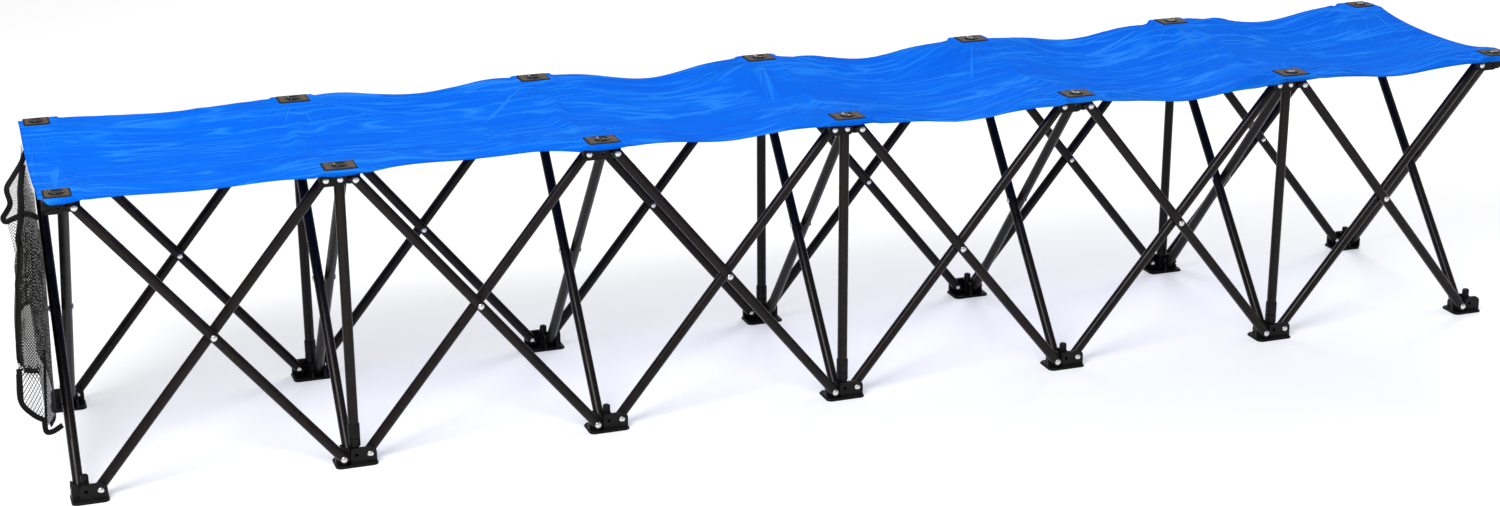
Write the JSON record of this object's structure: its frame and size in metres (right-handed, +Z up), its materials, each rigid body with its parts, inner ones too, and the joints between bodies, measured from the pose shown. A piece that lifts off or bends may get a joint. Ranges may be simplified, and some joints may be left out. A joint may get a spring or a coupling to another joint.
{
  "type": "folding bench",
  "caption": "Long folding bench with a fabric seat on crossing leg tubes that close like an accordion, with lock poles and a mesh storage bag at one end.",
  "frame": {"origin": "on the ground, in the middle of the bench's box", "axes": "+Z up, +X along the bench to the right, +Y from the front to the back"},
  "size_m": [2.4906, 0.469, 0.4807],
  "materials": {
    "coated_tube": "satin black-brown powder coat on steel tube",
    "moulding": "black moulded nylon, fine grain",
    "button": "dark button on a stitched webbing patch",
    "seat_fabric": "bright blue woven polyester",
    "mesh": "black knitted mesh with a bound edge"
  },
  "bodies": {
    "feet_0": {"feet_0": "moulding"},
    "feet_1": {"feet_1": "moulding"},
    "feet_2": {"feet_2": "moulding"},
    "feet_3": {"feet_3": "moulding"},
    "feet_4": {"feet_4": "moulding"},
    "feet_5": {"feet_5": "moulding"},
    "feet_6": {"feet_6": "moulding"},
    "hubs_0": {"hubs_0": "moulding", "seat_fixings_0": "button", "mesh_bag": "mesh"},
    "hubs_1": {"hubs_1": "moulding", "seat_fixings_1": "button", "lock_poles_1": "coated_tube", "pole_ferrules_1": "moulding"},
    "hubs_2": {"hubs_2": "moulding", "seat_fixings_2": "button"},
    "hubs_3": {"hubs_3": "moulding", "seat_fixings_3": "button", "lock_poles_3": "coated_tube", "pole_ferrules_3": "moulding", "seat_cover": "seat_fabric"},
    "hubs_4": {"hubs_4": "moulding", "seat_fixings_4": "button"},
    "hubs_5": {"hubs_5": "moulding", "seat_fixings_5": "button", "lock_poles_5": "coated_tube", "pole_ferrules_5": "moulding"},
    "hubs_6": {"hubs_6": "moulding", "seat_fixings_6": "button"},
    "rising_0": {"rising_tubes_0": "coated_tube"},
    "falling_0": {"falling_tubes_0": "coated_tube"},
    "rising_1": {"rising_tubes_1": "coated_tube"},
    "falling_1": {"falling_tubes_1": "coated_tube"},
    "rising_2": {"rising_tubes_2": "coated_tube"},
    "falling_2": {"falling_tubes_2": "coated_tube"},
    "rising_3": {"rising_tubes_3": "coated_tube"},
    "falling_3": {"falling_tubes_3": "coated_tube"},
    "rising_4": {"rising_tubes_4": "coated_tube"},
    "falling_4": {"falling_tubes_4": "coated_tube"},
    "rising_5": {"rising_tubes_5": "coated_tube"},
    "falling_5": {"falling_tubes_5": "coated_tube"},
    "front_cross_0": {"front_cross_tube_0": "coated_tube"},
    "rear_cross_0": {"rear_cross_tube_0": "coated_tube"},
    "front_cross_1": {"front_cross_tube_1": "coated_tube"},
    "rear_cross_1": {"rear_cross_tube_1": "coated_tube"},
    "front_cross_2": {"front_cross_tube_2": "coated_tube"},
    "rear_cross_2": {"rear_cross_tube_2": "coated_tube"},
    "front_cross_3": {"front_cross_tube_3": "coated_tube"},
    "rear_cross_3": {"rear_cross_tube_3": "coated_tube"},
    "front_cross_4": {"front_cross_tube_4": "coated_tube"},
    "rear_cross_4": {"rear_cross_tube_4": "coated_tube"},
    "front_cross_5": {"front_cross_tube_5": "coated_tube"},
    "rear_cross_5": {"rear_cross_tube_5": "coated_tube"},
    "front_cross_6": {"front_cross_tube_6": "coated_tube"},
    "rear_cross_6": {"rear_cross_tube_6": "coated_tube"}
  },
  "joints": [
    {"name": "fold", "type": "hinge", "parent": "feet_3", "child": "rising_3", "pos_m": [0.03931, 0, 0.01651], "axis": [0, -1, 0], "range_deg": [0, 35.5], "deforming": ["seat_cover"]},
    {"name": "crossing_3", "type": "hinge", "parent": "rising_3", "child": "falling_3", "pos_m": [0.2183, 0, 0.23572], "axis": [0, 1, 0], "range_deg": [-2, 73]},
    {"name": "foot_pivot_4", "type": "hinge", "parent": "falling_3", "child": "feet_4", "pos_m": [0.39729, 0, 0.01651], "axis": [0, -1, 0], "range_deg": [-2, 37.5]},
    {"name": "hub_pivot_4", "type": "hinge", "parent": "rising_3", "child": "hubs_4", "pos_m": [0.39729, 0, 0.45493], "axis": [0, 1, 0], "range_deg": [-2, 37.5]},
    {"name": "rising_pivot_4", "type": "hinge", "parent": "feet_4", "child": "rising_4", "pos_m": [0.43931, 0, 0.01651], "axis": [0, -1, 0], "range_deg": [-2, 37.5]},
    {"name": "crossing_4", "type": "hinge", "parent": "rising_4", "child": "falling_4", "pos_m": [0.6183, 0, 0.23572], "axis": [0, 1, 0], "range_deg": [-2, 73]},
    {"name": "foot_pivot_5", "type": "hinge", "parent": "falling_4", "child": "feet_5", "pos_m": [0.79729, 0, 0.01651], "axis": [0, -1, 0], "range_deg": [-2, 37.5]},
    {"name": "hub_pivot_5", "type": "hinge", "parent": "rising_4", "child": "hubs_5", "pos_m": [0.79729, 0, 0.45493], "axis": [0, 1, 0], "range_deg": [-2, 37.5]},
    {"name": "rising_pivot_5", "type": "hinge", "parent": "feet_5", "child": "rising_5", "pos_m": [0.83931, 0, 0.01651], "axis": [0, -1, 0], "range_deg": [-2, 37.5]},
    {"name": "crossing_5", "type": "hinge", "parent": "rising_5", "child": "falling_5", "pos_m": [1.0183, 0, 0.23572], "axis": [0, 1, 0], "range_deg": [-2, 73]},
    {"name": "foot_pivot_6", "type": "hinge", "parent": "falling_5", "child": "feet_6", "pos_m": [1.19729, 0, 0.01651], "axis": [0, -1, 0], "range_deg": [-2, 37.5]},
    {"name": "hub_pivot_6", "type": "hinge", "parent": "rising_5", "child": "hubs_6", "pos_m": [1.19729, 0, 0.45493], "axis": [0, 1, 0], "range_deg": [-2, 37.5]},
    {"name": "falling_pivot_2", "type": "hinge", "parent": "feet_3", "child": "falling_2", "pos_m": [-0.00271, 0, 0.01651], "axis": [0, 1, 0], "range_deg": [-2, 37.5]},
    {"name": "crossing_2", "type": "hinge", "parent": "falling_2", "child": "rising_2", "pos_m": [-0.1817, 0, 0.23572], "axis": [0, -1, 0], "range_deg": [-2, 73]},
    {"name": "foot_pivot_2", "type": "hinge", "parent": "rising_2", "child": "feet_2", "pos_m": [-0.36069, 0, 0.01651], "axis": [0, 1, 0], "range_deg": [-2, 37.5]},
    {"name": "hub_pivot_2", "type": "hinge", "parent": "falling_2", "child": "hubs_2", "pos_m": [-0.36069, 0, 0.45493], "axis": [0, -1, 0], "range_deg": [-2, 37.5]},
    {"name": "falling_pivot_1", "type": "hinge", "parent": "feet_2", "child": "falling_1", "pos_m": [-0.40271, 0, 0.01651], "axis": [0, 1, 0], "range_deg": [-2, 37.5]},
    {"name": "crossing_1", "type": "hinge", "parent": "falling_1", "child": "rising_1", "pos_m": [-0.5817, 0, 0.23572], "axis": [0, -1, 0], "range_deg": [-2, 73]},
    {"name": "foot_pivot_1", "type": "hinge", "parent": "rising_1", "child": "feet_1", "pos_m": [-0.76069, 0, 0.01651], "axis": [0, 1, 0], "range_deg": [-2, 37.5]},
    {"name": "hub_pivot_1", "type": "hinge", "parent": "falling_1", "child": "hubs_1", "pos_m": [-0.76069, 0, 0.45493], "axis": [0, -1, 0], "range_deg": [-2, 37.5]},
    {"name": "falling_pivot_0", "type": "hinge", "parent": "feet_1", "child": "falling_0", "pos_m": [-0.80271, 0, 0.01651], "axis": [0, 1, 0], "range_deg": [-2, 37.5]},
    {"name": "crossing_0", "type": "hinge", "parent": "falling_0", "child": "rising_0", "pos_m": [-0.9817, 0, 0.23572], "axis": [0, -1, 0], "range_deg": [-2, 73]},
    {"name": "foot_pivot_0", "type": "hinge", "parent": "rising_0", "child": "feet_0", "pos_m": [-1.16069, 0, 0.01651], "axis": [0, 1, 0], "range_deg": [-2, 37.5]},
    {"name": "hub_pivot_0", "type": "hinge", "parent": "falling_0", "child": "hubs_0", "pos_m": [-1.16069, 0, 0.45493], "axis": [0, -1, 0], "range_deg": [-2, 37.5]},
    {"name": "hub_pivot_3", "type": "hinge", "parent": "falling_3", "child": "hubs_3", "pos_m": [0.03931, 0, 0.45493], "axis": [0, -1, 0], "range_deg": [-2, 37.5]},
    {"name": "front_cross_pivot_0", "type": "hinge", "parent": "feet_0", "child": "front_cross_0", "pos_m": [-1.1903, -0.17899, 0.01651], "axis": [1, 0, 0], "range_deg": [-2, 37.5]},
    {"name": "rear_cross_pivot_0", "type": "hinge", "parent": "feet_0", "child": "rear_cross_0", "pos_m": [-1.1731, 0.17899, 0.01651], "axis": [-1, 0, 0], "range_deg": [-2, 37.5]},
    {"name": "front_cross_pivot_1", "type": "hinge", "parent": "feet_1", "child": "front_cross_1", "pos_m": [-0.7903, -0.17899, 0.01651], "axis": [1, 0, 0], "range_deg": [-2, 37.5]},
    {"name": "rear_cross_pivot_1", "type": "hinge", "parent": "feet_1", "child": "rear_cross_1", "pos_m": [-0.7731, 0.17899, 0.01651], "axis": [-1, 0, 0], "range_deg": [-2, 37.5]},
    {"name": "front_cross_pivot_2", "type": "hinge", "parent": "feet_2", "child": "front_cross_2", "pos_m": [-0.3903, -0.17899, 0.01651], "axis": [1, 0, 0], "range_deg": [-2, 37.5]},
    {"name": "rear_cross_pivot_2", "type": "hinge", "parent": "feet_2", "child": "rear_cross_2", "pos_m": [-0.3731, 0.17899, 0.01651], "axis": [-1, 0, 0], "range_deg": [-2, 37.5]},
    {"name": "front_cross_pivot_3", "type": "hinge", "parent": "feet_3", "child": "front_cross_3", "pos_m": [0.0097, -0.17899, 0.01651], "axis": [1, 0, 0], "range_deg": [-2, 37.5]},
    {"name": "rear_cross_pivot_3", "type": "hinge", "parent": "feet_3", "child": "rear_cross_3", "pos_m": [0.0269, 0.17899, 0.01651], "axis": [-1, 0, 0], "range_deg": [-2, 37.5]},
    {"name": "front_cross_pivot_4", "type": "hinge", "parent": "feet_4", "child": "front_cross_4", "pos_m": [0.4097, -0.17899, 0.01651], "axis": [1, 0, 0], "range_deg": [-2, 37.5]},
    {"name": "rear_cross_pivot_4", "type": "hinge", "parent": "feet_4", "child": "rear_cross_4", "pos_m": [0.4269, 0.17899, 0.01651], "axis": [-1, 0, 0], "range_deg": [-2, 37.5]},
    {"name": "front_cross_pivot_5", "type": "hinge", "parent": "feet_5", "child": "front_cross_5", "pos_m": [0.8097, -0.17899, 0.01651], "axis": [1, 0, 0], "range_deg": [-2, 37.5]},
    {"name": "rear_cross_pivot_5", "type": "hinge", "parent": "feet_5", "child": "rear_cross_5", "pos_m": [0.8269, 0.17899, 0.01651], "axis": [-1, 0, 0], "range_deg": [-2, 37.5]},
    {"name": "front_cross_pivot_6", "type": "hinge", "parent": "feet_6", "child": "front_cross_6", "pos_m": [1.2097, -0.17899, 0.01651], "axis": [1, 0, 0], "range_deg": [-2, 37.5]},
    {"name": "rear_cross_pivot_6", "type": "hinge", "parent": "feet_6", "child": "rear_cross_6", "pos_m": [1.2269, 0.17899, 0.01651], "axis": [-1, 0, 0], "range_deg": [-2, 37.5]}
  ],
  "couplings": [
    {"joint": "crossing_3", "follows": "fold", "ratio": 2},
    {"joint": "foot_pivot_4", "follows": "fold", "ratio": 1},
    {"joint": "hub_pivot_4", "follows": "fold", "ratio": 1},
    {"joint": "rising_pivot_4", "follows": "fold", "ratio": 1},
    {"joint": "crossing_4", "follows": "fold", "ratio": 2},
    {"joint": "foot_pivot_5", "follows": "fold", "ratio": 1},
    {"joint": "hub_pivot_5", "follows": "fold", "ratio": 1},
    {"joint": "rising_pivot_5", "follows": "fold", "ratio": 1},
    {"joint": "crossing_5", "follows": "fold", "ratio": 2},
    {"joint": "foot_pivot_6", "follows": "fold", "ratio": 1},
    {"joint": "hub_pivot_6", "follows": "fold", "ratio": 1},
    {"joint": "falling_pivot_2", "follows": "fold", "ratio": 1},
    {"joint": "crossing_2", "follows": "fold", "ratio": 2},
    {"joint": "foot_pivot_2", "follows": "fold", "ratio": 1},
    {"joint": "hub_pivot_2", "follows": "fold", "ratio": 1},
    {"joint": "falling_pivot_1", "follows": "fold", "ratio": 1},
    {"joint": "crossing_1", "follows": "fold", "ratio": 2},
    {"joint": "foot_pivot_1", "follows": "fold", "ratio": 1},
    {"joint": "hub_pivot_1", "follows": "fold", "ratio": 1},
    {"joint": "falling_pivot_0", "follows": "fold", "ratio": 1},
    {"joint": "crossing_0", "follows": "fold", "ratio": 2},
    {"joint": "foot_pivot_0", "follows": "fold", "ratio": 1},
    {"joint": "hub_pivot_0", "follows": "fold", "ratio": 1},
    {"joint": "hub_pivot_3", "follows": "fold", "ratio": 1},
    {"joint": "front_cross_pivot_0", "follows": "fold", "ratio": 1},
    {"joint": "rear_cross_pivot_0", "follows": "fold", "ratio": 1},
    {"joint": "front_cross_pivot_1", "follows": "fold", "ratio": 1},
    {"joint": "rear_cross_pivot_1", "follows": "fold", "ratio": 1},
    {"joint": "front_cross_pivot_2", "follows": "fold", "ratio": 1},
    {"joint": "rear_cross_pivot_2", "follows": "fold", "ratio": 1},
    {"joint": "front_cross_pivot_3", "follows": "fold", "ratio": 1},
    {"joint": "rear_cross_pivot_3", "follows": "fold", "ratio": 1},
    {"joint": "front_cross_pivot_4", "follows": "fold", "ratio": 1},
    {"joint": "rear_cross_pivot_4", "follows": "fold", "ratio": 1},
    {"joint": "front_cross_pivot_5", "follows": "fold", "ratio": 1},
    {"joint": "rear_cross_pivot_5", "follows": "fold", "ratio": 1},
    {"joint": "front_cross_pivot_6", "follows": "fold", "ratio": 1},
    {"joint": "rear_cross_pivot_6", "follows": "fold", "ratio": 1}
  ]
}
